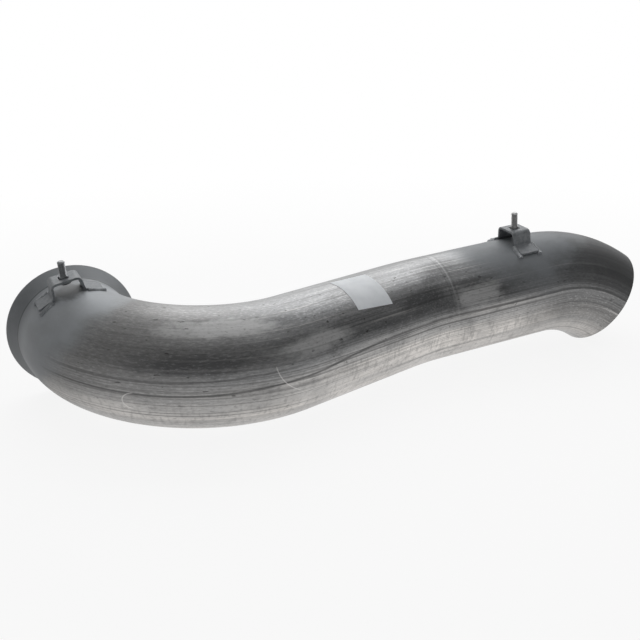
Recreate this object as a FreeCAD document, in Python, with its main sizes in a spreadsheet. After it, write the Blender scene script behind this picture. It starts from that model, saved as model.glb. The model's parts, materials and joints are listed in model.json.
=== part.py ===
import FreeCAD, Part
import math
import os

from FreeCAD import Placement, Rotation, Vector

# Exhaust tailpipe: one bent tube with a flared inlet, two welded stud brackets and a blank label.
# The tube is drawn with its inlet mouth at the origin, looking along -Y, and its first bend turning
# about +Z. Every finished piece is then set down together, the way the part lies on a flat floor.

# Driving dimensions, in millimetres and degrees
DIMENSIONS = (
    ("tube_diameter", 127.0, "outside of the tube"),
    ("tube_wall", 2.0, "sheet of the tube"),
    ("bend_radius", 152.0, "centreline radius of every bend"),
    ("flare_diameter", 146.0, "outside of the inlet mouth"),
    ("flare_length", 18.5, "from the mouth to the foot of the flare"),
    ("flare_fillet", 2.0, "outside radius at the foot of the flare"),
    ("inlet_land", 1.5, "straight tube between the flare and the first bend"),
    ("bend_one", 106.0, "turn of the first bend"),
    ("middle_straight", 166.0, "run after the first bend"),
    ("roll_two", 162.5, "turn of the bending plane before the second bend"),
    ("bend_two", 21.0, "turn of the second bend"),
    ("rear_straight", 144.0, "run after the second bend"),
    ("roll_three", 94.0, "turn of the bending plane before the third bend"),
    ("bend_three", 38.0, "turn of the third bend"),
    ("outlet_straight", 6.0, "run after the third bend"),
    ("bracket_width", 24.0, "width of the bracket's strip"),
    ("bracket_sheet", 2.5, "thickness of the strip"),
    ("bracket_plate", 33.0, "length of the flat top over both bends"),
    ("bracket_height", 15.5, "top of the bracket above the tube"),
    ("bracket_splay", 5.0, "lean of each leg"),
    ("bracket_bend", 3.5, "inside radius of the strip's bends"),
    ("foot_angle", 18.5, "clock angle where a flat foot meets the tube"),
    ("foot_reach", 15.0, "foot beyond its line of contact"),
    ("seat_depth", 0.4, "depth to which a foot is dressed to the tube"),
    ("hole_width", 10.5, "square hole for the stud"),
    ("stud_diameter", 8.0, "shank of the stud"),
    ("neck_diameter", 9.0, "plain neck of the stud, in the hole"),
    ("neck_height", 5.0, "neck from the head up to the thread"),
    ("stud_reach", 19.5, "shank above the bracket"),
    ("stud_chamfer", 1.2, "bevel at the stud's end"),
    ("head_diameter", 19.0, "round head under the bracket"),
    ("head_height", 4.5, "height of the head"),
    ("head_shoulder", 14.6, "head where its two bevels meet"),
    ("head_rim", 2.2, "height of the head's steep lower bevel"),
    ("head_crown", 6.0, "flat on the head's crown"),
    ("weld_radius", 3.2, "radius of a weld bead"),
    ("weld_length", 19.0, "weld bead from end to end"),
    ("weld_angle", 25.5, "clock angle of the middle of a bead"),
    ("weld_offset", 1.4, "bead's line outside the edge of the foot"),
    ("weld_sink", 0.6, "bead's line below the tube's skin"),
    ("front_setback", 27.5, "front bracket past the start of the first bend"),
    ("front_clock", 13.0, "front bracket round the tube from its crest"),
    ("front_turn", -11.0, "front bracket turned on its seat"),
    ("front_lean", 7.0, "lean of the loose front stud in its hole"),
    ("rear_setback", 24.0, "rear bracket before the start of the third bend"),
    ("rear_clock", 0.0, "rear bracket round the tube from its crest"),
    ("label_length", 50.0, "label along the tube"),
    ("label_width", 54.0, "label round the tube"),
    ("label_sheet", 0.2, "thickness of the label"),
    ("label_glue", 0.05, "glue under the label"),
    ("label_setback", 89.5, "label past the start of the middle run"),
    ("label_clock", 19.1, "label round the tube from its crest"),
    ("label_turn", -5.0, "label's slant"),
)

X_AXIS = Vector(1, 0, 0)
Y_AXIS = Vector(0, 1, 0)
Z_AXIS = Vector(0, 0, 1)
ORIGIN = Vector(0, 0, 0)

doc = FreeCAD.newDocument("tailpipe")
sheet = doc.addObject("Spreadsheet::Sheet", "sizes")


def fill_sheet():
    """Writes each driving dimension to its own row, under its own name."""
    for row, (name, value, meaning) in enumerate(DIMENSIONS, start=1):
        sheet.set("A%d" % row, name)
        sheet.set("B%d" % row, str(value))
        sheet.set("C%d" % row, meaning)
        sheet.setAlias("B%d" % row, name)
    doc.recompute()


def size(name):
    """Value of one driving dimension."""
    return float(sheet.get(name))


# Document objects

def add(kind, name, place=None, **bound):
    """One document object, with its sizes bound to the sheet."""
    thing = doc.addObject(kind, name)
    for prop, formula in bound.items():
        thing.setExpression(prop, formula)
    if place is not None:
        thing.Placement = place
    return thing


def cut(name, base, tool):
    """What is left of one object after another is taken away."""
    result = doc.addObject("Part::Cut", name)
    result.Base = base
    result.Tool = tool
    result.Refine = True
    return result


def fuse(name, things):
    """Several objects joined into one."""
    result = doc.addObject("Part::MultiFuse", name)
    result.Shapes = things
    result.Refine = True
    return result


def wire_object(name, edges):
    """A drawn line that a section is swept along."""
    line = doc.addObject("Part::Feature", name)
    line.Shape = Part.Wire(edges)
    return line


def sweep(name, section, spine):
    """A solid swept from a section along every edge of a line."""
    solid = doc.addObject("Part::Sweep", name)
    solid.Sections = [section]
    solid.Spine = (spine, ["Edge%d" % (n + 1) for n in range(len(spine.Shape.Edges))])
    solid.Solid = True
    solid.Frenet = False
    return solid


# Centreline of the tube

def centreline():
    """Runs of the centreline in order: each a straight or a bend, with its start and heading."""
    straights = (size("flare_length") + size("inlet_land"), size("middle_straight"), size("rear_straight"))
    rolls = (0.0, size("roll_two"), size("roll_three"))
    bends = (size("bend_one"), size("bend_two"), size("bend_three"))
    radius = size("bend_radius")
    point, heading, axis = ORIGIN, -Y_AXIS, Z_AXIS
    runs = []
    for straight, roll, bend in zip(straights, rolls, bends):
        runs.append({"start": point, "heading": heading, "length": straight})
        point = point + heading * straight
        axis = Rotation(heading, roll).multVec(axis)
        centre = point + axis.cross(heading) * radius
        runs.append({"start": point, "heading": heading, "length": radius * math.radians(bend),
                     "axis": axis, "centre": centre, "turn": bend})
        turn = Rotation(axis, bend)
        point = centre + turn.multVec(point - centre)
        heading = turn.multVec(heading)
    runs.append({"start": point, "heading": heading, "length": size("outlet_straight")})
    return runs


def point_on(run, along):
    """Point and heading at a distance along one run."""
    if "axis" not in run:
        return run["start"] + run["heading"] * along, run["heading"]
    turn = Rotation(run["axis"], run["turn"] * along / run["length"])
    return run["centre"] + turn.multVec(run["start"] - run["centre"]), turn.multVec(run["heading"])


def run_edge(run):
    """One run as a line or an arc."""
    start, _ = point_on(run, 0)
    middle, _ = point_on(run, run["length"] / 2)
    end, _ = point_on(run, run["length"])
    if "axis" in run:
        return Part.Arc(start, middle, end).toShape()
    return Part.LineSegment(start, end).toShape()


def site(run, along, clock, turn):
    """Seat on the tube: X round it, Y back along it, Z straight out from the centreline."""
    point, heading = point_on(run, along)
    crest = Z_AXIS - heading * heading.dot(Z_AXIS)
    crest.normalize()
    outward = Rotation(heading, clock).multVec(crest)
    seat = Placement(point, Rotation(outward.cross(heading), -heading, outward, "ZXY"))
    return seat * Placement(ORIGIN, Rotation(Z_AXIS, turn))


# Tube with its flared mouth

FLARE_SLOPE = "atan((sizes.flare_diameter - sizes.tube_diameter) / 2 / sizes.flare_length)"
MOUTH = Placement(ORIGIN, Rotation(X_AXIS, 90))


def swept_pipe(name, spine, radius):
    """Round bar along the centreline."""
    circle = add("Part::Circle", name + "_circle", MOUTH, Radius=radius)
    return sweep(name, circle, spine)


def flare_root_edges(shape):
    """Round edges at the foot of the flare, inside and outside, with the radius that each gets."""
    rounds = []
    for number, edge in enumerate(shape.Edges, start=1):
        if edge.Curve.TypeId != "Part::GeomCircle" or len(edge.Vertexes) > 1:
            continue
        depth = -edge.Curve.Center.y
        at_mouth = depth < size("flare_length") / 2
        if at_mouth or depth > size("flare_length") + size("inlet_land") / 2:
            continue
        inside = edge.Curve.Radius < size("tube_diameter") / 2 - size("tube_wall") / 2
        rounds.append((number, size("flare_fillet") + (size("tube_wall") if inside else 0.0)))
    return [(number, radius, radius) for number, radius in rounds]


def make_tube(runs):
    """The bent tube, its outside as one bar, which trims what sits on it, and its centreline."""
    spine = wire_object("tube_line", [run_edge(run) for run in runs])
    bar = swept_pipe("tube_bar", spine, "sizes.tube_diameter / 2")
    bore = swept_pipe("tube_bore", spine, "sizes.tube_diameter / 2 - sizes.tube_wall")
    flare = add("Part::Cone", "flare", MOUTH, Radius1="sizes.flare_diameter / 2",
                Radius2="sizes.tube_diameter / 2", Height="sizes.flare_length")
    hollow = add("Part::Cone", "flare_hollow", MOUTH,
                 Radius1="sizes.flare_diameter / 2 - sizes.tube_wall / cos(%s)" % FLARE_SLOPE,
                 Radius2="sizes.tube_diameter / 2 - sizes.tube_wall",
                 Height="sizes.flare_length - sizes.tube_wall * tan(%s / 2)" % FLARE_SLOPE)
    outside = fuse("tube_outside", [bar, flare])
    pipe = cut("flared_pipe", outside, fuse("tube_inside", [bore, hollow]))
    doc.recompute()
    tube = doc.addObject("Part::Fillet", "tube")
    tube.Base = pipe
    tube.Edges = flare_root_edges(pipe.Shape)
    return tube, outside, spine


# Stud bracket, drawn in the frame of its seat

def strip_points():
    """Corners of the strip's middle line, from one foot's end to the other's."""
    foot = math.radians(size("foot_angle"))
    lean = math.radians(size("bracket_splay"))
    along = Vector(math.cos(foot), 0, -math.sin(foot))
    outward = Vector(math.sin(foot), 0, math.cos(foot))
    half_sheet = size("bracket_sheet") / 2
    foot_level = size("tube_diameter") / 2 - size("seat_depth") + half_sheet
    top_level = size("tube_diameter") / 2 + size("bracket_height") - half_sheet
    end = outward * foot_level + along * size("foot_reach")
    corner = Vector(size("bracket_plate") / 2 - half_sheet, 0, top_level)
    leg = Vector(math.sin(lean), 0, -math.cos(lean))
    root = corner + leg * ((foot_level - corner.dot(outward)) / leg.dot(outward))
    right = [end, root, corner]
    left = [Vector(-point.x, 0, point.z) for point in reversed(right)]
    return right + left


def rounded_edges(points, radius):
    """Straight runs between the points, with an arc at each corner."""
    edges = []
    begin = points[0]
    for before, corner, after in zip(points, points[1:], points[2:]):
        into = (corner - before).normalize()
        out = (after - corner).normalize()
        half_turn = into.getAngle(out) / 2
        trim = radius * math.tan(half_turn)
        bisector = (out - into).normalize()
        middle = corner + bisector * (radius / math.cos(half_turn) - radius)
        edges.append(Part.LineSegment(begin, corner - into * trim).toShape())
        edges.append(Part.Arc(corner - into * trim, middle, corner + out * trim).toShape())
        begin = corner + out * trim
    edges.append(Part.LineSegment(begin, points[-1]).toShape())
    return edges


def make_strip(name, seat):
    """The bent strip before it is punched and dressed to the tube."""
    points = strip_points()
    bend = size("bracket_bend") + size("bracket_sheet") / 2
    line = wire_object(name + "_line", rounded_edges(points, bend))
    along = (points[1] - points[0]).normalize()
    through = along.cross(Y_AXIS)
    start = points[0] - Y_AXIS * (size("bracket_width") / 2) - through * (size("bracket_sheet") / 2)
    across_strip = Placement(start, Rotation(Y_AXIS, through, along, "ZXY"))
    section = add("Part::Plane", name + "_section", across_strip,
                  Length="sizes.bracket_width", Width="sizes.bracket_sheet")
    strip = sweep(name + "_strip", section, line)
    strip.Placement = seat
    return strip


def make_bracket(name, seat, strip, outside):
    """The strip with its square hole, its feet dressed to the tube."""
    half_hole = size("hole_width") / 2
    below = size("tube_diameter") / 2 + size("bracket_height") / 2
    hole_place = seat * Placement(Vector(-half_hole, -half_hole, below), Rotation())
    hole = add("Part::Box", name + "_hole", hole_place,
               Length="sizes.hole_width", Width="sizes.hole_width", Height="sizes.bracket_height")
    return cut(name, cut(name + "_punched", strip, hole), outside)


def make_stud(name):
    """Loose bolt with a double bevelled head, drawn standing on the underside of the bracket's top."""
    rim = add("Part::Cone", name + "_rim", Placement(Vector(0, 0, -size("head_rim")), Rotation()),
              Radius1="sizes.head_shoulder / 2", Radius2="sizes.head_diameter / 2",
              Height="sizes.head_rim")
    crown = add("Part::Cone", name + "_crown", Placement(Vector(0, 0, -size("head_height")), Rotation()),
                Radius1="sizes.head_crown / 2", Radius2="sizes.head_shoulder / 2",
                Height="sizes.head_height - sizes.head_rim")
    neck = add("Part::Cylinder", name + "_neck", Radius="sizes.neck_diameter / 2",
               Height="sizes.neck_height")
    shank_top = size("bracket_sheet") + size("stud_reach") - size("stud_chamfer")
    on_neck = Placement(Vector(0, 0, size("neck_height")), Rotation())
    shank = add("Part::Cylinder", name + "_shank", on_neck, Radius="sizes.stud_diameter / 2",
                Height="sizes.bracket_sheet + sizes.stud_reach - sizes.stud_chamfer - sizes.neck_height")
    tip = add("Part::Cone", name + "_tip", Placement(Vector(0, 0, shank_top), Rotation()),
              Radius1="sizes.stud_diameter / 2", Radius2="sizes.stud_diameter / 2 - sizes.stud_chamfer",
              Height="sizes.stud_chamfer")
    return fuse(name, [rim, crown, neck, shank, tip])


def stud_place(lean):
    """Where the stud stands in the frame of the bracket's seat, its head up against the strip."""
    underside = size("tube_diameter") / 2 + size("bracket_height") - size("bracket_sheet")
    drop = size("head_diameter") / 2 * math.sin(math.radians(abs(lean)))
    return Placement(Vector(0, 0, underside - drop), Rotation(Y_AXIS, lean))


BEAD_SIDES = 10


def make_welds(name, seat, strip, spine, outside):
    """A bead down both edges of both feet, each lying on the tube beside the strip."""
    beads = []
    radius = size("tube_diameter") / 2
    beside = size("bracket_width") / 2 + size("weld_offset")
    for foot, side in ((-1, "left"), (1, "right")):
        to_foot = seat * Placement(ORIGIN, Rotation(Y_AXIS, foot * size("weld_angle")))
        down_foot = to_foot.Rotation.multVec(X_AXIS)
        for edge, end in ((-1, "outlet"), (1, "inlet")):
            near = to_foot.multVec(Vector(0, edge * beside, radius))
            centre = spine.Shape.distToShape(Part.Vertex(near))[1][0][0]
            outward = (near - centre).normalize()
            along = (down_foot - outward * down_foot.dot(outward)).normalize()
            start = centre + outward * (radius - size("weld_sink")) - along * (size("weld_length") / 2)
            bead = add("Part::Prism", "_".join((name, side, end)),
                       Placement(start, Rotation(outward, along.cross(outward), along, "ZXY")),
                       Circumradius="sizes.weld_radius", Height="sizes.weld_length")
            bead.Polygon = BEAD_SIDES
            beads.append(bead)
    return cut(name, cut(name + "_clear", fuse(name + "_beads", beads), outside), strip)


# Blank label on the middle run

def make_label(seat):
    """A thin slanted rectangle wrapped on the tube."""
    reach = "sizes.label_length + sizes.label_width"
    half_reach = (size("label_length") + size("label_width")) / 2
    on_axis = seat * Placement(Vector(0, half_reach, 0), Rotation(X_AXIS, 90))
    outer = add("Part::Cylinder", "label_outer", on_axis, Height=reach,
                Radius="sizes.tube_diameter / 2 + sizes.label_glue + sizes.label_sheet")
    inner = add("Part::Cylinder", "label_inner", on_axis, Height=reach,
                Radius="sizes.tube_diameter / 2 + sizes.label_glue")
    slant = seat * Placement(ORIGIN, Rotation(Z_AXIS, size("label_turn")))
    corner = Vector(-size("label_width") / 2, -size("label_length") / 2, 0)
    blank = add("Part::Box", "label_blank", slant * Placement(corner, Rotation()),
                Length="sizes.label_width", Width="sizes.label_length", Height="sizes.tube_diameter")
    label = doc.addObject("Part::Common", "label")
    label.Base = cut("label_sleeve", outer, inner)
    label.Tool = blank
    return label


# Lie of the part on a flat floor

STATION_STEP = 1.0
REST_STEPS = 40


def lowest_on_ring(centre, heading, radius, up):
    """Lowest point of a circle that stands across a heading."""
    across = up - heading * up.dot(heading)
    across.normalize()
    return centre - across * radius


def resting_rotation(runs):
    """Turns the tube until its mouth, its belly and its outlet all lie on the floor."""
    outer = size("tube_diameter") / 2
    belly_run = [point_on(run, n * STATION_STEP) for run in runs[1:3]
                 for n in range(int(run["length"] / STATION_STEP))]
    last, last_heading = point_on(runs[-1], runs[-1]["length"])
    up = Z_AXIS
    for _ in range(REST_STEPS):
        mouth = lowest_on_ring(ORIGIN, runs[0]["heading"], size("flare_diameter") / 2, up)
        outlet = lowest_on_ring(last, last_heading, outer, up)
        low_points = [lowest_on_ring(point, heading, outer, up) for point, heading in belly_run]
        belly = min(low_points, key=up.dot)
        up = (belly - mouth).cross(outlet - mouth).normalize()
        if up.z < 0:
            up = -up
    return Rotation(up, Z_AXIS), mouth


def resting_place(runs, tube):
    """Sets the part on the floor, with the middle of its box over the origin."""
    rotation, mouth = resting_rotation(runs)
    lying = tube.Shape.copy()
    lying.Placement = Placement(ORIGIN, rotation)
    box = lying.optimalBoundingBox(False)
    floor = rotation.multVec(mouth).z
    return Placement(Vector(-box.Center.x, -box.Center.y, -floor), rotation)


# The whole part

def build():
    """Makes every piece, and gives those that are handed on, by name."""
    runs = centreline()
    tube, outside, spine = make_tube(runs)
    first_bend, middle_run, rear_run = runs[1], runs[2], runs[4]
    rear_along = rear_run["length"] - size("rear_setback")
    seats = {
        "front": site(first_bend, size("front_setback"), size("front_clock"), size("front_turn")),
        "rear": site(rear_run, rear_along, size("rear_clock"), 0.0),
    }
    leans = {"front": size("front_lean"), "rear": 0.0}
    nodes = {"tube": (tube, Placement())}
    for end, seat in seats.items():
        strip = make_strip(end + "_bracket", seat)
        nodes[end + "_bracket"] = (make_bracket(end + "_bracket", seat, strip, outside), Placement())
        nodes[end + "_stud"] = (make_stud(end + "_stud"), seat * stud_place(leans[end]))
        nodes[end + "_welds"] = (make_welds(end + "_welds", seat, strip, spine, outside), Placement())
    label_seat = site(middle_run, size("label_setback"), size("label_clock"), 0.0)
    nodes["label"] = (make_label(label_seat), Placement())
    doc.recompute()
    rest = resting_place(runs, tube)
    for name, (node, place) in nodes.items():
        node.Label = name
        node.Placement = rest * place
    doc.recompute()
    return {name: node for name, (node, _) in nodes.items()}


def check(nodes):
    """Stops on any object that failed, and on any piece that is missing or broken."""
    for thing in doc.Objects:
        if "Invalid" in thing.State or "Error" in thing.State:
            raise RuntimeError("failed object: " + thing.Name)
    for name, node in nodes.items():
        if node.Shape.isNull() or not node.Shape.isValid():
            raise RuntimeError("broken piece: " + name)


fill_sheet()
finished = build()
check(finished)
os.makedirs("parts", exist_ok=True)
for node_name, piece in finished.items():
    piece.Shape.exportStep(os.path.join("parts", node_name + ".step"))
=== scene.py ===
"""Looks of a bent exhaust tailpipe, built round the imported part. Lengths are in metres."""

import json
import math

import bpy
from mathutils import Matrix, Vector


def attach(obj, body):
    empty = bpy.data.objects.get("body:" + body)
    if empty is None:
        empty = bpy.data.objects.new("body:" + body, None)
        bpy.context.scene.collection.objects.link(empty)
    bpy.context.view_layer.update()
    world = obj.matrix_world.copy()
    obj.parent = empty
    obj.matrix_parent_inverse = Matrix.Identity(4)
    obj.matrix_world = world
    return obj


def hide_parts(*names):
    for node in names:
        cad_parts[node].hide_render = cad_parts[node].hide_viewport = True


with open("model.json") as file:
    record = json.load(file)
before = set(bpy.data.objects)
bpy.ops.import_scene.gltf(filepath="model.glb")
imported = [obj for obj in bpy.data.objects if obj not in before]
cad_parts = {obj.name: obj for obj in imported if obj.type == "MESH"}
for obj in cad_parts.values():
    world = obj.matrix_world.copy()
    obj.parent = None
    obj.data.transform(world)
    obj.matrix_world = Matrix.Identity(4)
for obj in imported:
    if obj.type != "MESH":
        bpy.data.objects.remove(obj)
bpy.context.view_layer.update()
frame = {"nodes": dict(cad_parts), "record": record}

ORIGIN = Vector((0, 0, 0))
Y_AXIS = Vector((0, 1, 0))
Z_AXIS = Vector((0, 0, 1))

# Sizes of the tube

TUBE_RADIUS = 0.0635
TUBE_WALL = 0.002
BEND_RADIUS = 0.152
MOUTH_RADIUS = 0.073
FLARE_LENGTH = 0.0185
FLARE_BLEND = 0.0022
INLET_STRAIGHT = 0.020
OUTLET_STRAIGHT = 0.006
MIDDLE_STRAIGHT = 0.166
REAR_STRAIGHT = 0.144
BENDS = (106.0, 21.0, 38.0)
ROLLS = (0.0, 162.5, 94.0)

# Places on the tube's skin, along it from the mouth and round it from its crest

DIE_MARK = INLET_STRAIGHT + MIDDLE_STRAIGHT + BEND_RADIUS * math.radians(BENDS[0] + BENDS[1])
REAR_SETBACK = 0.024
REAR_STATION = DIE_MARK + REAR_STRAIGHT - REAR_SETBACK
SEAM_FIRST_BEND = -0.102
SEAM_AFTER_BEND = -0.0855
SECOND_LINE = 0.0145
FRONT_PAINT_EDGE = 0.113
FRONT_PAINT_FADE = 3.0
REAR_PAINT_ALONG = 0.090
REAR_PAINT_AROUND = 0.078

# Spots on the skin: station, place round the tube, half length and half width
# Pale spots: the first is a painted highlight on the first bend, the other two are paler mottled patches
PALE_PATCH_AND_HIGHLIGHT_SPOTS = (
    (0.220, -0.034, 0.052, 0.014),
    (0.298, -0.066, 0.045, 0.012),
    (0.560, -0.068, 0.038, 0.014),
)
# Painted shade: darker patches that deepen the dark band of reflection on the tube's side
DARK_BAND_SHADE_SPOTS = (
    (0.200, -0.072, 0.055, 0.013),
    (0.465, -0.056, 0.045, 0.013),
)
# A painted shadow on the tube under the front bracket's top plate
SHADE_UNDER_BRACKET_SPOTS = ((0.050, -0.013, 0.024, 0.022),)

# Curved scratches: middle of the curve along and round, its radius, where it stops along and round
SCRATCHES = (
    (0.158, -0.1125, 0.0103, 0.156, -0.100),
    (0.300, -0.0750, 0.0421, 0.277, -0.080),
)

# Sizes of a stud, from the top of its head; the head's profile is heights and radii

HEAD_PROFILE = ((-0.0045, 0.0030), (-0.0022, 0.0073), (0.0, 0.0095))
NECK_RADIUS = 0.0045
NECK_HEIGHT = 0.005
THREAD_PITCH = 0.00125
THREAD_DEPTH = 0.00077
STUD_BEVEL = 0.0012

# How finely the tube and the studs are drawn

STATION_STEP = 0.0025
FLARE_STEP = 0.0008
FINE_LENGTH = FLARE_LENGTH * 1.3
RING_SIDES = 128
STUD_SIDES = 48
STEPS_A_TURN = 8
SHARP_EDGE = math.radians(40)


# Centreline of the tube

def centreline():
    """Runs of the bending table, the mouth at the origin: straights and bends in order."""
    straights = (INLET_STRAIGHT, MIDDLE_STRAIGHT, REAR_STRAIGHT)
    point, heading, axis = ORIGIN, -Y_AXIS, Z_AXIS
    runs = []
    for straight, roll, bend in zip(straights, ROLLS, BENDS):
        runs.append((point, heading, straight, None, None))
        point = point + heading * straight
        axis = Matrix.Rotation(math.radians(roll), 3, heading) @ axis
        centre = point + axis.cross(heading) * BEND_RADIUS
        runs.append((point, heading, BEND_RADIUS * math.radians(bend), axis, centre))
        turn = Matrix.Rotation(math.radians(bend), 3, axis)
        point = centre + turn @ (point - centre)
        heading = turn @ heading
    runs.append((point, heading, OUTLET_STRAIGHT, None, None))
    return runs


def point_on(runs, station):
    """Point and heading at a distance from the mouth."""
    for start, heading, length, axis, centre in runs:
        if station <= length or (start, heading) == runs[-1][:2]:
            break
        station -= length
    if axis is None:
        return start + heading * station, heading
    turn = Matrix.Rotation(station / BEND_RADIUS, 3, axis)
    return centre + turn @ (start - centre), turn @ heading


def triad(first, second):
    """Square axes, as columns, from two directions."""
    x = first.normalized()
    z = first.cross(second).normalized()
    return Matrix((x, z.cross(x), z)).transposed()


def lie_of_tube(runs, length):
    """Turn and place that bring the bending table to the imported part, from its two open ends."""
    ends = {}
    for mount in frame["record"]["mounts"]:
        ends[mount["name"]] = (Vector(mount["pos_m"]), Vector(mount["axis"]))
    mouth, mouth_axis = ends["inlet_flare"]
    tip, _ = ends["outlet_end"]
    own_tip, _ = point_on(runs, length - OUTLET_STRAIGHT / 2)
    turn = triad(mouth_axis, tip - mouth) @ triad(Y_AXIS, own_tip).inverted()
    return Matrix.Translation(mouth) @ turn.to_4x4()


def outside_radius(station):
    """Radius of the outside: a cone to the foot of the flare, eased into the tube."""
    slope = (MOUTH_RADIUS - TUBE_RADIUS) / FLARE_LENGTH
    if station <= FLARE_LENGTH - FLARE_BLEND:
        return MOUTH_RADIUS - slope * station
    short = max(0.0, FLARE_LENGTH + FLARE_BLEND - station) / (2 * FLARE_BLEND)
    return TUBE_RADIUS + slope * FLARE_BLEND * short ** 2


def stations(length):
    """Places along the tube where a ring is drawn, closer together on the flare."""
    fine = round(FINE_LENGTH / FLARE_STEP)
    rest = round((length - FINE_LENGTH) / STATION_STEP)
    found = [FINE_LENGTH * n / fine for n in range(fine)]
    return found + [FINE_LENGTH + (length - FINE_LENGTH) * n / rest for n in range(rest + 1)]


def untwisted_sides(runs, skin):
    """A direction across the tube at each station, carried along it without twist."""
    sides = {}
    side = Z_AXIS
    _, before = point_on(runs, skin[0])
    for s in skin:
        _, heading = point_on(runs, s)
        side = before.rotation_difference(heading) @ side
        sides[s] = side
        before = heading
    return sides


def band(ring, after, sides):
    """Faces between two rings of points."""
    found = []
    for n in range(sides):
        m = (n + 1) % sides
        found.append((ring * sides + n, ring * sides + m, after * sides + m, after * sides + n))
    return found


def smooth_piece(name, verts, faces):
    """A new piece of the scene, smooth but for its sharp edges."""
    mesh = bpy.data.meshes.new(name)
    mesh.from_pydata(verts, [], faces)
    mesh.update()
    mesh.shade_smooth()
    mesh.set_sharp_from_angle(angle=SHARP_EDGE)
    piece = bpy.data.objects.new(name, mesh)
    bpy.context.scene.collection.objects.link(piece)
    return piece


def make_tube(runs, length, lie):
    """Smooth mesh of the tube, with the place of each point on the tube laid out straight."""
    verts, lays, faces = [], [], []
    skin = stations(length)
    slope = math.atan((MOUTH_RADIUS - TUBE_RADIUS) / FLARE_LENGTH)
    mouth_wall = TUBE_WALL / math.cos(slope)
    rings = [(s, outside_radius(s)) for s in skin]
    rings += [(s, max(TUBE_RADIUS - TUBE_WALL, outside_radius(s) - mouth_wall)) for s in reversed(skin)]
    sides = untwisted_sides(runs, skin)
    for s, radius in rings:
        point, heading = point_on(runs, s)
        across = sides[s].cross(heading)
        for n in range(RING_SIDES):
            angle = 2 * math.pi * n / RING_SIDES
            out = sides[s] * math.cos(angle) + across * math.sin(angle)
            verts.append(lie @ (point + out * radius))
            lays.append((s, radius * math.sin(angle), radius * math.cos(angle)))
    count = len(rings)
    for ring in range(count):
        faces += band(ring, (ring + 1) % count, RING_SIDES)
    tube = smooth_piece("tube_skin", verts, faces)
    layout = tube.data.attributes.new("lay", "FLOAT_VECTOR", "POINT")
    for n, place in enumerate(lays):
        layout.data[n].vector = place
    return tube


# Studs

def stud_rings(radius, length):
    """Rings of a stud from its head's crown to its tip: height, radius and depth of thread."""
    rings = [(height, reach, 0.0) for height, reach in HEAD_PROFILE]
    rings += [(0.0, NECK_RADIUS, 0.0), (NECK_HEIGHT, NECK_RADIUS, 0.0)]
    steps = round(length / THREAD_PITCH * STEPS_A_TURN)
    for n in range(steps + 1):
        rise = length * n / steps
        run_out = min(1.0, rise / THREAD_PITCH, (length - rise) / THREAD_PITCH)
        rings.append((NECK_HEIGHT + rise, radius, THREAD_DEPTH * run_out))
    rings.append((NECK_HEIGHT + length + STUD_BEVEL, radius - STUD_BEVEL, 0.0))
    return rings


def make_stud(name, mount):
    """A stud with its thread cut as a screw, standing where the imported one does."""
    length = mount["dims"]["length_mm"] / 1000
    axis = Vector(mount["axis"]).normalized()
    foot = Vector(mount["pos_m"]) - axis * (NECK_HEIGHT + length / 2)
    lie = Matrix.Translation(foot) @ axis.to_track_quat("Z", "Y").to_matrix().to_4x4()
    rings = stud_rings(mount["dims"]["r_mm"] / 1000, length)
    verts, faces = [], []
    for height, radius, depth in rings:
        for n in range(STUD_SIDES):
            turn = n / STUD_SIDES
            angle = 2 * math.pi * turn
            groove = abs(2 * ((height / THREAD_PITCH - turn) % 1.0) - 1)
            reach = radius - depth * groove
            verts.append(lie @ Vector((reach * math.cos(angle), reach * math.sin(angle), height)))
    for ring in range(len(rings) - 1):
        faces += band(ring, ring + 1, STUD_SIDES)
    faces.append(tuple(reversed(range(STUD_SIDES))))
    faces.append(tuple(range(len(verts) - STUD_SIDES, len(verts))))
    return smooth_piece(name, verts, faces)


# Shader building

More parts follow.
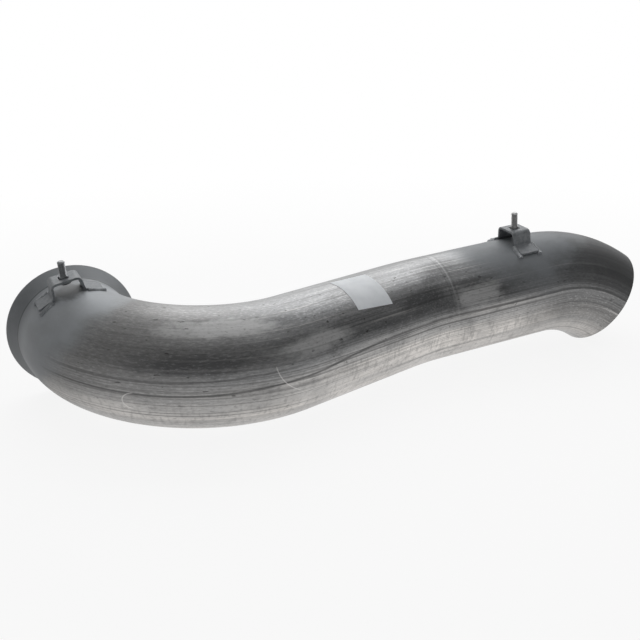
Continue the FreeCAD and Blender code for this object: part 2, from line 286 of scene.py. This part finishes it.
class Paint:
    """One procedural material, with short names for the nodes that it is made of."""

    def __init__(self, name):
        self.material = bpy.data.materials.new(name)
        self.material.use_nodes = True
        self.nodes = self.material.node_tree.nodes
        self.links = self.material.node_tree.links
        self.shader = self.nodes["Principled BSDF"]

    def feed(self, value, socket):
        """Sets a socket from a number, a colour or another node's output."""
        if isinstance(value, bpy.types.NodeSocket):
            self.links.new(value, socket)
        else:
            socket.default_value = value

    def attribute(self, name):
        """A vector that the mesh carries."""
        node = self.nodes.new("ShaderNodeAttribute")
        node.attribute_name = name
        return node.outputs["Vector"]

    def place(self):
        """Place in the row frame."""
        return self.nodes.new("ShaderNodeTexCoord").outputs["Object"]

    def stretched(self, vector, scale):
        """A vector with each axis scaled."""
        node = self.nodes.new("ShaderNodeMapping")
        self.feed(vector, node.inputs["Vector"])
        node.inputs["Scale"].default_value = scale
        return node.outputs["Vector"]

    def noise(self, vector, scale, detail=4.0, rough=0.55):
        """Noise from 0 to 1."""
        node = self.nodes.new("ShaderNodeTexNoise")
        self.feed(vector, node.inputs["Vector"])
        node.inputs["Scale"].default_value = scale
        node.inputs["Detail"].default_value = detail
        node.inputs["Roughness"].default_value = rough
        return node.outputs["Fac"]

    def between(self, value, low, high, to_low=0.0, to_high=1.0, kind="SMOOTHSTEP"):
        """A step of a value, from low to high, smooth unless another kind is named."""
        node = self.nodes.new("ShaderNodeMapRange")
        node.interpolation_type = kind
        self.feed(value, node.inputs["Value"])
        self.feed(low, node.inputs["From Min"])
        self.feed(high, node.inputs["From Max"])
        self.feed(to_low, node.inputs["To Min"])
        self.feed(to_high, node.inputs["To Max"])
        return node.outputs["Result"]

    def sum(self, kind, first, second):
        """Two values joined by one operation."""
        node = self.nodes.new("ShaderNodeMath")
        node.operation = kind
        self.feed(first, node.inputs[0])
        self.feed(second, node.inputs[1])
        return node.outputs[0]

    def axis(self, vector, name):
        """One part of a vector."""
        node = self.nodes.new("ShaderNodeSeparateXYZ")
        self.feed(vector, node.inputs[0])
        return node.outputs[name]

    def rolled_out(self, lay, radius):
        """Place on a tube's skin laid out flat: along the tube, then round it from its crest."""
        angle = self.sum("ARCTAN2", self.axis(lay, "Y"), self.axis(lay, "Z"))
        node = self.nodes.new("ShaderNodeCombineXYZ")
        self.feed(self.axis(lay, "X"), node.inputs["X"])
        self.feed(self.sum("MULTIPLY", angle, radius), node.inputs["Y"])
        return node.outputs["Vector"]

    def reach(self, vector, centre):
        """Distance of a place from a point."""
        node = self.nodes.new("ShaderNodeVectorMath")
        node.operation = "DISTANCE"
        self.feed(vector, node.inputs[0])
        node.inputs[1].default_value = centre
        return node.outputs["Value"]

    def mix(self, share, first, second):
        """Two colours mixed."""
        node = self.nodes.new("ShaderNodeMix")
        node.data_type = "RGBA"
        self.feed(share, node.inputs["Factor"])
        self.feed(first, node.inputs["A"])
        self.feed(second, node.inputs["B"])
        return node.outputs["Result"]

    def bump(self, height, strength, distance):
        """Raises the surface by a value."""
        node = self.nodes.new("ShaderNodeBump")
        node.inputs["Strength"].default_value = strength
        node.inputs["Distance"].default_value = distance
        self.feed(height, node.inputs["Height"])
        self.links.new(node.outputs["Normal"], self.shader.inputs["Normal"])

    def finish(self, colour, metal, rough):
        """Sets the shader's main sockets."""
        self.feed(colour, self.shader.inputs["Base Color"])
        self.feed(metal, self.shader.inputs["Metallic"])
        self.feed(rough, self.shader.inputs["Roughness"])
        return self.material


def grey(level, warmth=0.0):
    """A linear grey, warmer above zero and cooler below."""
    return (level * (1 + warmth), level, level * (1 - warmth), 1.0)


# Tones of the tube, in pairs where noise runs from one to the other

UPPER_TONES = (grey(0.20, -0.02), grey(0.32, -0.01))
LOWER_TONES = (grey(0.48, 0.025), grey(0.74, 0.045))
# Painted shade on the lower side near the outlet
LOWER_END_SHADE_TONE = grey(0.15, 0.01)
CLOUD_TONE = grey(0.19, -0.01)
BLOT_TONE = grey(0.15)
TARNISH_TONE = grey(0.27, 0.012)
# Painted shade deepening the dark band
DARK_BAND_SHADE_TONE = grey(0.12, -0.03)
# Painted highlight and paler mottled patches
PALE_PATCH_AND_HIGHLIGHT_TONE = grey(0.58)
PALE_GRAIN_TONE = grey(0.58)
DARK_GRAIN_TONE = grey(0.12)
MARK_TONE = grey(0.24, 0.02)
HAIR_TONE = grey(0.10)
FINE_HAIR_TONE = grey(0.08)
GLINT_TONE = grey(0.80, 0.03)
SEAM_TONE = grey(0.06)
SECOND_LINE_TONE = grey(0.07)
PIT_TONE = grey(0.05, 0.02)
SCRATCH_TONE = grey(0.85, 0.02)
FLARE_TONES = (grey(0.27, -0.05), grey(0.21, -0.05))
FRONT_TONES = (grey(0.42, -0.05), grey(0.34, -0.04))
REAR_TONES = (grey(0.25, -0.06), grey(0.19, -0.05))
# Dark outlet: partly a dark finish, partly painted shade
OUTLET_DARK_AND_SHADE_TONES = (grey(0.050, -0.03), grey(0.075, -0.02))
UNDER_TONE = grey(0.12, -0.05)
# Painted shade under the front bracket's top plate
SHADE_UNDER_BRACKET_TONE = grey(0.13, -0.02)
# Painted shade in the crease at the flare's foot
CREASE_SHADE_TONE = grey(0.05, -0.05)

# Rings left by the bending die: place past the die mark, and tone
DIE_RINGS = ((0.0, grey(0.08)), (0.005, grey(0.55)), (0.008, grey(0.08)))


class TubePaint(Paint):
    """Material of the tube: bare drawn steel with lines along it, dull paint and a dark outlet, the
    outlet's darkness partly painted shade.
    """

    def __init__(self, name, length):
        super().__init__(name)
        self.length = length
        self.lay = self.attribute("lay")
        self.skin = self.rolled_out(self.lay, TUBE_RADIUS)
        self.along = self.axis(self.skin, "X")
        self.around = self.axis(self.skin, "Y")
        self.from_crest = self.sum("ABSOLUTE", self.around, 0.0)
        self.streaks = self.layer(2.2, 60.0, 5.0, 0.6)
        self.hairs = self.layer(2.6, 330.0, 3.0, 0.6)
        self.marks = self.layer(320.0, 90.0, 3.0, 0.5)
        self.blots = self.layer(34.0, 60.0, 5.0, 0.65)
        self.clouds = self.noise(self.lay, 22.0, 5.0, 0.6)
        self.drift = self.swing(self.clouds, 0.10)
        self.wavy = self.sum("ADD", self.along, self.drift)
        waver = self.swing(self.streaks, 0.014)
        seam = self.between(self.along, 0.17, 0.42, SEAM_FIRST_BEND, SEAM_AFTER_BEND)
        self.past_seam = self.sum("ADD", self.sum("SUBTRACT", self.around, seam), waver)
        self.below_seam = self.sum("ADD", self.sum("ADD", self.from_crest, seam), waver)
        self.belly = self.between(self.below_seam, -0.012, 0.028)
        self.pale_patches_and_highlight = self.spots(PALE_PATCH_AND_HIGHLIGHT_SPOTS)

    def layer(self, along, across, detail, rough):
        """Noise with its own fineness along the tube and across it."""
        return self.noise(self.stretched(self.lay, (along, across, across)), 1.0, detail, rough)

    def swing(self, layer, size):
        """A layer of noise brought about zero and scaled."""
        return self.sum("MULTIPLY", self.sum("SUBTRACT", layer, 0.5), size)

    def spots(self, places):
        """Soft ragged spots on the skin: 1 inside, 0 outside."""
        found = 0.0
        ragged = self.swing(self.blots, 1.6)
        for station, side, half_along, half_around in places:
            spread = self.stretched(self.skin, (1 / half_along, 1 / half_around, 0.0))
            reach = self.reach(spread, (station / half_along, side / half_around, 0.0))
            spot = self.between(self.sum("ADD", reach, ragged), 0.45, 1.15, 1.0, 0.0)
            found = self.sum("MAXIMUM", found, spot)
        return found

    def off_line(self, value, place):
        """Distance of a value from a line."""
        return self.sum("ABSOLUTE", self.sum("SUBTRACT", value, place), 0.0)

    def by_side(self, above, below):
        """One value above the seam and another below it."""
        return self.between(self.belly, 0.0, 1.0, above, below)

    def tinted(self, colour, value, low, high, share, tone):
        """A colour that takes a share of a tone as a value rises from low to high."""
        return self.mix(self.between(value, low, high, 0.0, share), colour, tone)

    def lined(self, colour, distance, core, edge, share, tone):
        """A colour that takes a share of a tone near a line, and none past the line's edge."""
        return self.mix(self.between(distance, core, edge, share, 0.0), colour, tone)

    def bare_steel(self):
        """Base tones: darker above the seam, pale below it, dull on the first bend, and darker below near
        the outlet as painted shade.
        """
        upper = self.mix(self.between(self.streaks, 0.34, 0.66), *UPPER_TONES)
        lower = self.mix(self.between(self.streaks, 0.36, 0.64), *LOWER_TONES)
        # Painted shade: the lower side darkens near the outlet
        end_shade = self.between(self.from_crest, 0.105, 0.145, 0.92, 0.35)
        lower = self.tinted(lower, self.along, 0.58, 0.69, end_shade, LOWER_END_SHADE_TONE)
        bare = self.mix(self.belly, upper, lower)
        share = self.by_side(0.50, 0.30)
        bare = self.tinted(bare, self.clouds, 0.46, 0.70, share, CLOUD_TONE)
        bare = self.tinted(bare, self.blots, 0.54, 0.72, share, BLOT_TONE)
        bare = self.lined(bare, self.wavy, 0.15, 0.30, self.by_side(0.75, 0.25), TARNISH_TONE)
        # Painted shade: darker patches deepening the dark band of reflection
        bare = self.mix(self.sum("MULTIPLY", self.spots(DARK_BAND_SHADE_SPOTS), 0.65), bare, DARK_BAND_SHADE_TONE)
        # Pale spots: one a painted highlight, two paler mottled patches
        return self.mix(self.sum("MULTIPLY", self.pale_patches_and_highlight, 0.9), bare, PALE_PATCH_AND_HIGHLIGHT_TONE)

    def worn(self, bare):
        """The base tones with grain and drawing lines, then single lines, pits and scratches over them."""
        grain = self.layer(260.0, 620.0, 3.0, 0.6)
        bare = self.tinted(bare, grain, 0.50, 0.72, 0.35, PALE_GRAIN_TONE)
        bare = self.lined(bare, grain, 0.28, 0.48, 0.40, DARK_GRAIN_TONE)
        bare = self.tinted(bare, self.marks, 0.50, 0.68, self.by_side(0.10, 0.40), MARK_TONE)
        share = self.by_side(self.between(self.wavy, 0.18, 0.40, 0.18, 0.50), 0.55)
        bare = self.tinted(bare, self.hairs, 0.52, 0.66, share, HAIR_TONE)
        share = self.between(self.off_line(self.below_seam, 0.010), 0.006, 0.030, 0.50, 0.15)
        bare = self.tinted(bare, self.layer(2.0, 620.0, 3.0, 0.6), 0.50, 0.62, share, FINE_HAIR_TONE)
        share = self.by_side(self.between(self.wavy, 0.18, 0.40, 0.10, 0.35), 0.55)
        bare = self.tinted(bare, self.layer(6.0, 460.0, 2.0, 0.5), 0.62, 0.74, share, GLINT_TONE)

        bare = self.lined(bare, self.off_line(self.past_seam, 0.0), 0.0005, 0.0022, 0.7, SEAM_TONE)
        share = self.between(self.along, 0.24, 0.32, 0.5, 0.0)
        second = self.off_line(self.past_seam, SECOND_LINE)
        bare = self.lined(bare, second, 0.0004, 0.0020, share, SECOND_LINE_TONE)
        share = self.between(self.from_crest, 0.060, 0.095, 0.28, 0.05)
        for offset, tone in DIE_RINGS:
            ring = self.off_line(self.along, DIE_MARK + offset)
            bare = self.lined(bare, ring, 0.0003, 0.0013, share, tone)
        pits = self.layer(130.0, 240.0, 2.0, 0.4)
        bare = self.tinted(bare, pits, 0.68, 0.75, self.by_side(0.70, 0.35), PIT_TONE)
        for station, side, radius, last_along, last_around in SCRATCHES:
            ring = self.off_line(self.reach(self.skin, (station, side, 0.0)), radius)
            share = self.between(self.along, last_along - 0.001, last_along + 0.001, 0.40, 0.0)
            share = self.between(self.around, last_around - 0.001, last_around + 0.001, share, 0.0)
            bare = self.lined(bare, ring, 0.0001, 0.0006, share, SCRATCH_TONE)
        return bare

    def front_colour(self):
        """Paint round the front bracket and on the flare, with painted shade under the bracket's top plate
        and at the flare's foot.
        """
        cloudy = self.between(self.clouds, 0.35, 0.70)
        flare = self.mix(cloudy, *FLARE_TONES)
        colour = self.mix(self.between(self.along, 0.018, 0.040), flare, self.mix(cloudy, *FRONT_TONES))
        colour = self.tinted(colour, self.from_crest, 0.055, 0.115, 0.65, UNDER_TONE)
        # Painted shade on the tube under the front bracket's top plate
        shade_under_bracket = self.sum("MULTIPLY", self.spots(SHADE_UNDER_BRACKET_SPOTS), 0.75)
        colour = self.mix(shade_under_bracket, colour, SHADE_UNDER_BRACKET_TONE)
        # Painted shade: a dark line in the crease at the flare's foot
        crease = self.off_line(self.along, FLARE_LENGTH + 0.0005)
        return self.lined(colour, crease, 0.0003, 0.0016, 0.6, CREASE_SHADE_TONE)

    def whole(self):
        """Paint at both brackets and the dark outlet over the worn steel; the outlet's darkness is partly
        a dark finish and partly painted shade.
        """
        fade = self.sum("MULTIPLY", self.sum("MULTIPLY", self.around, self.around), FRONT_PAINT_FADE)
        ragged = self.sum("MULTIPLY", self.drift, 0.5)
        front_reach = self.sum("ADD", self.sum("ADD", self.along, fade), ragged)
        front = self.between(front_reach, FRONT_PAINT_EDGE - 0.014, FRONT_PAINT_EDGE + 0.018, 1.0, 0.0)
        mist = self.between(front_reach, FRONT_PAINT_EDGE, FRONT_PAINT_EDGE + 0.095, 0.85, 0.0)
        spread = self.stretched(self.skin, (1 / REAR_PAINT_ALONG, 1 / REAR_PAINT_AROUND, 0.0))
        rear_reach = self.reach(spread, (REAR_STATION / REAR_PAINT_ALONG, 0.0, 0.0))
        rear_reach = self.sum("ADD", rear_reach, self.sum("MULTIPLY", self.drift, 4.0))
        rear = self.between(rear_reach, 0.55, 1.25, 1.0, 0.0)
        # The dark outlet top: partly a dark finish, partly painted shade
        end = self.between(self.wavy, self.length - 0.115, self.length - 0.035)
        end = self.sum("MULTIPLY", end, self.between(self.from_crest, 0.060, 0.100, 1.0, 0.0))

        rear_colour = self.mix(self.between(self.clouds, 0.35, 0.70), *REAR_TONES)
        outlet_dark_and_shade = self.mix(self.between(self.streaks, 0.35, 0.65), *OUTLET_DARK_AND_SHADE_TONES)
        colour = self.mix(front, self.worn(self.bare_steel()), self.front_colour())
        colour = self.mix(rear, colour, rear_colour)
        colour = self.mix(self.sum("MULTIPLY", end, 0.9), colour, outlet_dark_and_shade)

        covered = self.sum("MAXIMUM", self.sum("MAXIMUM", front, rear), end)
        dulled = self.sum("MAXIMUM", covered, mist)
        frost = self.between(self.noise(self.lay, 16.0, 4.0, 0.6), 0.50, 0.68, 1.0, 0.70)
        frost = self.sum("MULTIPLY", frost, self.between(self.pale_patches_and_highlight, 0.0, 1.0, 1.0, 0.5))
        metal = self.between(dulled, 0.0, 1.0, frost, 0.15)
        sheen = self.between(self.streaks, 0.3, 0.7, 0.31, 0.43)
        sheen = self.sum("ADD", sheen, self.between(self.wavy, 0.18, 0.34, 0.08, 0.0))
        rough = self.between(dulled, 0.0, 1.0, sheen, 0.55)
        height = self.sum("ADD", self.hairs, self.sum("MULTIPLY", self.marks, 0.35))
        height = self.sum("ADD", height, self.clouds)
        height = self.sum("MULTIPLY", height, self.between(covered, 0.0, 1.0, 1.0, 0.15))
        self.bump(height, 0.25, 0.0008)
        return self.finish(colour, metal, rough)


def bracket_material():
    """Pressed strip under dull grey paint, worn paler in places."""
    paint = Paint("bracket_steel")
    place = paint.place()
    clouds = paint.noise(place, 160.0, 4.0, 0.6)
    grain = paint.noise(place, 900.0, 3.0, 0.6)
    colour = paint.mix(paint.between(clouds, 0.38, 0.66), grey(0.17, -0.06), grey(0.27, -0.05))
    colour = paint.mix(paint.between(grain, 0.58, 0.80, 0.0, 0.5), colour, grey(0.42, -0.03))
    paint.bump(grain, 0.2, 0.0004)
    return paint.finish(colour, 0.25, paint.between(clouds, 0.3, 0.7, 0.42, 0.6))


def stud_material(name, low_tone, high_tone, cloud_tone):
    """Dull steel, darker in patches."""
    paint = Paint(name)
    place = paint.place()
    grain = paint.noise(place, 1400.0, 3.0, 0.6)
    clouds = paint.noise(place, 300.0, 3.0, 0.6)
    colour = paint.mix(paint.between(grain, 0.35, 0.65), low_tone, high_tone)
    colour = paint.mix(paint.between(clouds, 0.4, 0.7, 0.0, 0.5), colour, cloud_tone)
    paint.bump(grain, 0.2, 0.0002)
    return paint.finish(colour, 0.7, 0.45)


def weld_material():
    """Rippled weld metal, part painted over."""
    paint = Paint("weld_steel")
    place = paint.place()
    ripple = paint.noise(place, 700.0, 3.0, 0.5)
    clouds = paint.noise(place, 180.0, 3.0, 0.5)
    colour = paint.mix(paint.between(clouds, 0.4, 0.65), grey(0.26, -0.05), grey(0.42, -0.04))
    colour = paint.mix(paint.between(ripple, 0.55, 0.75, 0.0, 0.4), colour, grey(0.14, -0.02))
    paint.bump(ripple, 0.7, 0.0012)
    return paint.finish(colour, 0.25, 0.48)


def label_material():
    """Pale film, a little soiled."""
    paint = Paint("label_film")
    place = paint.place()
    soil = paint.noise(place, 60.0, 4.0, 0.6)
    specks = paint.noise(place, 900.0, 2.0, 0.5)
    colour = paint.mix(paint.between(soil, 0.4, 0.75), grey(0.88, -0.035), grey(0.80, -0.04))
    colour = paint.mix(paint.between(specks, 0.68, 0.78, 0.0, 0.4), colour, grey(0.35, 0.0))
    return paint.finish(colour, 0.0, paint.between(soil, 0.3, 0.7, 0.38, 0.5))


# The floor keeps the part's shadow near it, and is plain white far from it
SHADOW_NEAR = 0.5
SHADOW_FAR = 1.3
STAGE_TONE = grey(0.88)
WHITE = grey(1.0)


def stage_material(name, shown_near, shown_far):
    """Pale stage: it takes shadow near the part, and is white to the eye and in reflections."""
    paint = Paint(name)
    paint.nodes.remove(paint.shader)
    rays = paint.nodes.new("ShaderNodeLightPath").outputs
    seen = paint.sum("MAXIMUM", rays["Is Camera Ray"], rays["Is Glossy Ray"])
    seen = paint.sum("MAXIMUM", seen, rays["Is Transmission Ray"])
    from_middle = paint.reach(paint.place(), ORIGIN)
    shown = paint.between(from_middle, SHADOW_NEAR, SHADOW_FAR, shown_near, shown_far, "LINEAR")
    matte = paint.nodes.new("ShaderNodeBsdfDiffuse")
    matte.inputs["Color"].default_value = STAGE_TONE
    glow = paint.nodes.new("ShaderNodeEmission")
    glow.inputs["Color"].default_value = WHITE
    both = paint.nodes.new("ShaderNodeMixShader")
    paint.feed(paint.sum("MULTIPLY", seen, shown), both.inputs[0])
    paint.feed(matte.outputs[0], both.inputs[1])
    paint.feed(glow.outputs[0], both.inputs[2])
    paint.feed(both.outputs[0], paint.nodes["Material Output"].inputs["Surface"])
    return paint.material


# Pieces of the part

bend_table = centreline()
tube_length = sum(run[2] for run in bend_table)
tube_lie = lie_of_tube(bend_table, tube_length)
tube_skin = make_tube(bend_table, tube_length, tube_lie)
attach(tube_skin, "root")
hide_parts("tube")
tube_skin.data.materials.append(TubePaint("tube_steel", tube_length).whole())

stud_materials = {
    "front_stud": stud_material("painted_stud", grey(0.19, -0.03), grey(0.42, -0.03), grey(0.26, -0.03)),
    "rear_stud": stud_material("stud_steel", grey(0.28, -0.01), grey(0.62, 0.0), grey(0.34, 0.01)),
}
for mount in frame["record"]["mounts"]:
    if mount["name"] in stud_materials:
        stud = make_stud(mount["name"] + "_skin", mount)
        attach(stud, "root")
        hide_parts(mount["name"])
        stud.data.materials.append(stud_materials[mount["name"]])

node_materials = {
    "front_bracket": bracket_material(),
    "front_welds": weld_material(),
    "label": label_material(),
}
node_materials["rear_bracket"] = node_materials["front_bracket"]
node_materials["rear_welds"] = node_materials["front_welds"]
for node, material in node_materials.items():
    frame["nodes"][node].data.materials.clear()
    frame["nodes"][node].data.materials.append(material)


# Stage, light and camera

def plane(name, corners, material):
    """A flat four-cornered piece of the stage."""
    mesh = bpy.data.meshes.new(name)
    mesh.from_pydata(corners, [], [(0, 1, 2, 3)])
    mesh.materials.append(material)
    piece = bpy.data.objects.new(name, mesh)
    bpy.context.scene.collection.objects.link(piece)


def lamp(name, place, target, size, power):
    """A soft square lamp that faces a point."""
    light = bpy.data.lights.new(name, "AREA")
    light.shape = "RECTANGLE"
    light.size, light.size_y = size
    light.energy = power
    piece = bpy.data.objects.new(name, light)
    piece.location = place
    piece.rotation_euler = (Vector(target) - Vector(place)).to_track_quat("-Z", "Y").to_euler()
    bpy.context.scene.collection.objects.link(piece)


FLOOR_HALF = 12.0
BACKDROP_FAR = 6.0
BACKDROP_HALF = 9.0
BACKDROP_HEIGHT = 7.0
WORLD_LIGHT = 0.20

# Camera, fitted to the photo's outline of the part
CAMERA_PLACE = Vector((-0.47034, -0.85497, 0.41633))
CAMERA_FORWARD = Vector((0.4151, 0.8445, -0.3370)).normalized()
CAMERA_RIGHT = Vector((0.8961, -0.4434, -0.0064))
CAMERA_LENS = 49.42
CAMERA_SENSOR = 36.0

floor = stage_material("stage_floor", 0.88, 1.0)
plane("floor", [(-FLOOR_HALF, -FLOOR_HALF, 0), (FLOOR_HALF, -FLOOR_HALF, 0),
                (FLOOR_HALF, FLOOR_HALF, 0), (-FLOOR_HALF, FLOOR_HALF, 0)], floor)

away = Vector((CAMERA_FORWARD.x, CAMERA_FORWARD.y, 0)).normalized()
sideways = Vector((away.y, -away.x, 0))
far = away * BACKDROP_FAR
reach = sideways * BACKDROP_HALF
rise = Vector((0, 0, BACKDROP_HEIGHT))
backdrop = stage_material("stage_backdrop", 1.0, 1.0)
plane("backdrop", [far - reach, far + reach, far + reach + rise, far - reach + rise], backdrop)
lamp("back_lamp", away * 1.5 + Vector((0, 0, 1.35)), (0, 0, 0.05), (3.2, 1.5), 24.0)
lamp("top_lamp", away * 0.3 + Vector((0, 0, 2.4)), (0, 0, 0), (3.0, 3.0), 17.0)

world = bpy.data.worlds.new("studio")
bpy.context.scene.world = world
world.use_nodes = True
sky = world.node_tree.nodes["Background"]
sky.inputs["Color"].default_value = WHITE
sky.inputs["Strength"].default_value = WORLD_LIGHT

camera_data = bpy.data.cameras.new("camera")
camera_data.lens = CAMERA_LENS
camera_data.sensor_fit = "HORIZONTAL"
camera_data.sensor_width = CAMERA_SENSOR
camera = bpy.data.objects.new("camera", camera_data)
right = (CAMERA_RIGHT - CAMERA_FORWARD * CAMERA_RIGHT.dot(CAMERA_FORWARD)).normalized()
up = right.cross(CAMERA_FORWARD)
turn = Matrix((right, up, -CAMERA_FORWARD)).transposed().to_4x4()
camera.matrix_world = Matrix.Translation(CAMERA_PLACE) @ turn
bpy.context.scene.collection.objects.link(camera)
bpy.context.scene.camera = camera
bpy.context.scene.view_settings.view_transform = "Standard"
